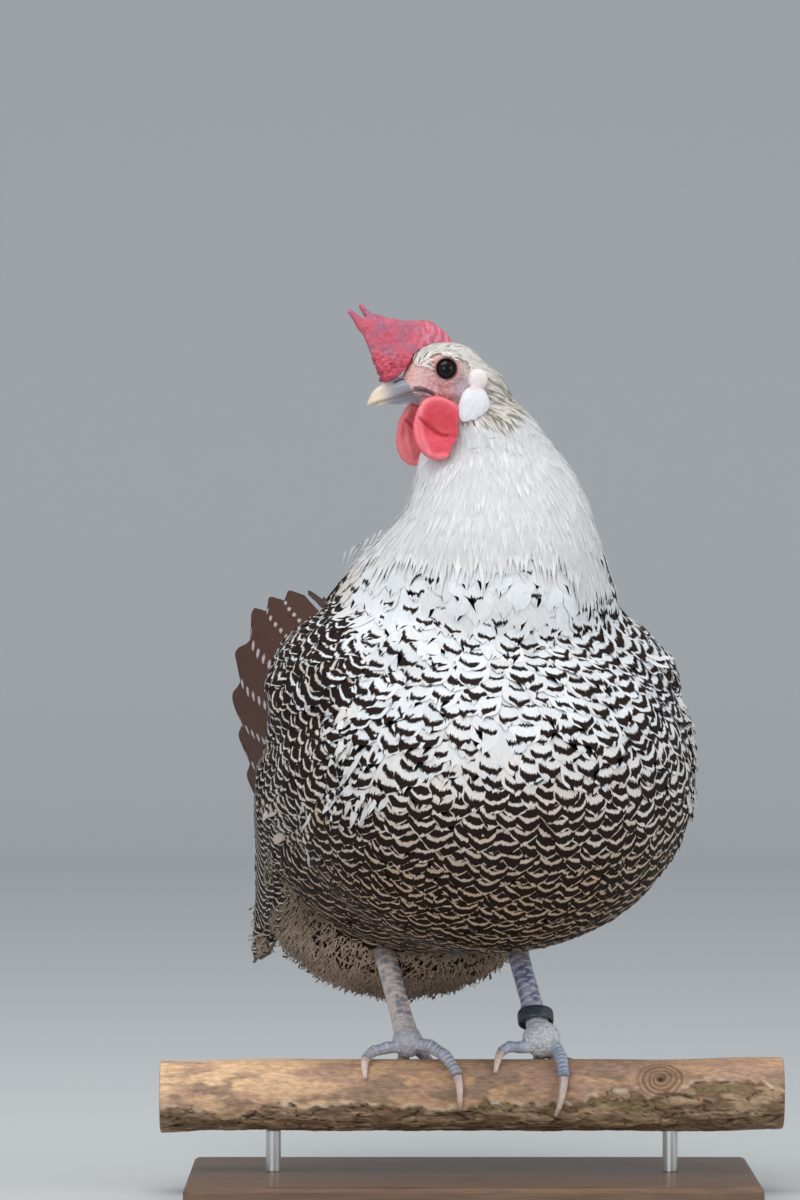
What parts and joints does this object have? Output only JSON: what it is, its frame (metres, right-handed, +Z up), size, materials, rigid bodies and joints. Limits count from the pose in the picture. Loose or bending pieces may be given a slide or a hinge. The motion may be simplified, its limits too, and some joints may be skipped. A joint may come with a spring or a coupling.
{
  "type": "chicken",
  "caption": "Still life-size model of a pencilled hen gripping a short cut branch, held up by a plain display stand.",
  "frame": {"origin": "centre of the underside of the stand's base", "axes": "+X along the perch towards the hen's left, -Y the front, +Z up"},
  "size_m": [0.3308, 0.341, 0.4703],
  "materials": {
    "barred_plumage": "matt feathers, off-white with narrow brown-black bars",
    "white_plumage": "matt off-white feathers",
    "comb_red": "soft bare skin, slightly moist, fine pimpled grain",
    "leg_scales": "slate-blue overlapping horny scales, satin",
    "bill_and_claw_horn": "smooth pale horn",
    "ear_lobe_white": "soft bare white skin, finely creased",
    "eye_dark": "wet gloss, dark brown iris round a black pupil",
    "branch_bark": "rough peeling bark with bare sawn ends",
    "base_wood": "dark stained wood, satin",
    "rod_steel": "plain brushed rod",
    "ring_plastic": "plain dark slate-blue plastic"
  },
  "bodies": {
    "root": {"bill_lower": "bill_and_claw_horn", "bill_upper": "bill_and_claw_horn", "claw_left_hind": "bill_and_claw_horn", "claw_left_inner": "bill_and_claw_horn", "claw_left_middle": "bill_and_claw_horn", "claw_left_outer": "bill_and_claw_horn", "claw_right_hind": "bill_and_claw_horn", "claw_right_inner": "bill_and_claw_horn", "claw_right_middle": "bill_and_claw_horn", "claw_right_outer": "bill_and_claw_horn", "comb": "comb_red", "earlobe_left": "ear_lobe_white", "earlobe_right": "ear_lobe_white", "eye_left": "eye_dark", "eye_right": "eye_dark", "head": "white_plumage", "leg_ring": "ring_plastic", "neck": "white_plumage", "perch": "branch_bark", "shank_left": "leg_scales", "shank_right": "leg_scales", "stand_base": "base_wood", "stand_rod_left": "rod_steel", "stand_rod_right": "rod_steel", "tail": "barred_plumage", "thigh_left": "barred_plumage", "thigh_right": "barred_plumage", "toe_left_hind": "leg_scales", "toe_left_inner": "leg_scales", "toe_left_middle": "leg_scales", "toe_left_outer": "leg_scales", "toe_right_hind": "leg_scales", "toe_right_inner": "leg_scales", "toe_right_middle": "leg_scales", "toe_right_outer": "leg_scales", "trunk": "barred_plumage", "wattle_left": "comb_red", "wattle_right": "comb_red", "wing_left": "barred_plumage", "wing_right": "barred_plumage"}
  },
  "joints": []
}
